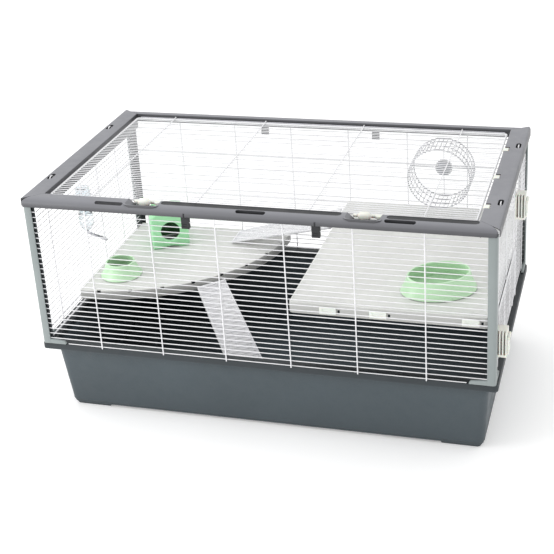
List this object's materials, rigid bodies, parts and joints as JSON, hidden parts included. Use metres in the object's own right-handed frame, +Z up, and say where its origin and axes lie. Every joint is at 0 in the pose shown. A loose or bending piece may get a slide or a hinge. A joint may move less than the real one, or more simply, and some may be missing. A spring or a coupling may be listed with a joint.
{
  "type": "hamster cage",
  "caption": "Two-level wire hamster cage on a deep plastic tray, with a hinged wire lid, side doors, platforms, ramps, running wheel, house, bowls and a water bottle.",
  "frame": {"origin": "centre of the cage's footprint, on the surface that it stands on", "axes": "+X along the cage to the right, +Y to the back, +Z up"},
  "size_m": [1.043, 0.57, 0.531],
  "materials": {
    "tray_plastic": "moulded, fine satin grain",
    "frame_plastic": "moulded, satin",
    "post_plastic": "extruded, satin",
    "cream_plastic": "moulded, soft gloss",
    "platform_plastic": "moulded, fine satin grain",
    "ramp_plastic": "ribbed, slightly translucent",
    "mint_plastic": "moulded, soft gloss",
    "black_plastic": "moulded",
    "hub_plastic": "moulded",
    "clear_plastic": "clear, polished",
    "white_wire": "white powder-coated steel wire",
    "steel": "polished steel"
  },
  "bodies": {
    "tray": {"base_tray": "tray_plastic"},
    "cage": {"post_front_left": "post_plastic", "post_front_right": "post_plastic", "post_back_left": "post_plastic", "post_back_right": "post_plastic", "top_rail_front": "frame_plastic", "top_rail_back": "frame_plastic", "top_rail_left": "frame_plastic", "top_rail_right": "frame_plastic", "front_grille": "white_wire", "back_grille": "white_wire", "left_grille": "white_wire", "right_grille": "white_wire", "panel_clip_front_left": "black_plastic", "panel_clip_front_right": "black_plastic", "panel_clip_back_left": "black_plastic", "panel_clip_back_right": "black_plastic", "left_platform": "platform_plastic", "right_platform": "platform_plastic", "platform_clip_left": "cream_plastic", "platform_clip_middle": "cream_plastic", "platform_clip_right": "cream_plastic", "wheel_axle": "steel", "lid_hinge_rod": "steel", "side_latch_housing_lower": "cream_plastic", "side_latch_housing_upper": "cream_plastic", "bottle_body": "clear_plastic", "bottle_cap": "clear_plastic", "bottle_spout": "steel", "bottle_hanger": "white_wire", "lid_guide_front": "cream_plastic", "lid_guide_middle": "cream_plastic", "lid_guide_back": "cream_plastic", "front_rail_lip_left": "frame_plastic", "front_rail_lip_middle": "frame_plastic", "front_rail_lip_right": "frame_plastic"},
    "lid": {"lid_grille": "white_wire"},
    "lid_latch_left": {"lid_latch_left": "cream_plastic"},
    "lid_latch_right": {"lid_latch_right": "cream_plastic"},
    "side_door_lower": {"side_door_lower": "white_wire"},
    "side_door_upper": {"side_door_upper": "white_wire"},
    "side_latch_lower": {"side_latch_slider_lower": "cream_plastic"},
    "side_latch_upper": {"side_latch_slider_upper": "cream_plastic"},
    "wheel": {"wheel_drum": "steel", "wheel_hub": "hub_plastic"},
    "lower_ramp": {"lower_ramp": "ramp_plastic"},
    "upper_ramp": {"upper_ramp": "ramp_plastic"},
    "house": {"house": "mint_plastic"},
    "small_bowl": {"small_bowl": "mint_plastic"},
    "oval_bowl": {"oval_bowl": "mint_plastic"}
  },
  "joints": [
    {"name": "cage_lift", "type": "slide", "parent": "tray", "child": "cage", "axis": [0, 0, 1], "range_m": [0, 0.4]},
    {"name": "lid_hinge", "type": "hinge", "parent": "cage", "child": "lid", "pos_m": [0, 0.252, 0.5175], "axis": [-1, 0, 0], "range_deg": [0, 100]},
    {"name": "lid_latch_left_flip", "type": "hinge", "parent": "lid", "child": "lid_latch_left", "pos_m": [-0.229, -0.2454, 0.5175], "axis": [-1, 0, 0], "range_deg": [0, 90]},
    {"name": "lid_latch_right_flip", "type": "hinge", "parent": "lid", "child": "lid_latch_right", "pos_m": [0.233, -0.2454, 0.5175], "axis": [-1, 0, 0], "range_deg": [0, 90]},
    {"name": "side_door_lower_hinge", "type": "hinge", "parent": "cage", "child": "side_door_lower", "pos_m": [0.491, 0.066, 0.2635], "axis": [0, 0, 1], "range_deg": [0, 100]},
    {"name": "side_door_upper_hinge", "type": "hinge", "parent": "cage", "child": "side_door_upper", "pos_m": [0.491, 0.242, 0.4225], "axis": [0, 0, 1], "range_deg": [0, 100]},
    {"name": "side_latch_lower_slide", "type": "slide", "parent": "cage", "child": "side_latch_lower", "axis": [0, 0, 1], "range_m": [0, 0.012]},
    {"name": "side_latch_upper_slide", "type": "slide", "parent": "cage", "child": "side_latch_upper", "axis": [0, 0, 1], "range_m": [0, 0.012]},
    {"name": "wheel_spin", "type": "hinge", "parent": "cage", "child": "wheel", "pos_m": [0.304, 0.25, 0.425], "axis": [0, 1, 0], "continuous": true},
    {"name": "lower_ramp_lift", "type": "hinge", "parent": "cage", "child": "lower_ramp", "pos_m": [-0.198, -0.009, 0.212], "axis": [-0.7071, -0.7071, 0], "range_deg": [0, 55]},
    {"name": "upper_ramp_lift", "type": "hinge", "parent": "cage", "child": "upper_ramp", "pos_m": [0.064, 0.165, 0.316], "axis": [0, 1, 0], "range_deg": [0, 50]},
    {"name": "house_lift", "type": "slide", "parent": "cage", "child": "house", "axis": [0, 0, 1], "range_m": [0, 0.12]},
    {"name": "small_bowl_lift", "type": "slide", "parent": "cage", "child": "small_bowl", "axis": [0, 0, 1], "range_m": [0, 0.12]},
    {"name": "oval_bowl_lift", "type": "slide", "parent": "cage", "child": "oval_bowl", "axis": [0, 0, 1], "range_m": [0, 0.12]}
  ]
}
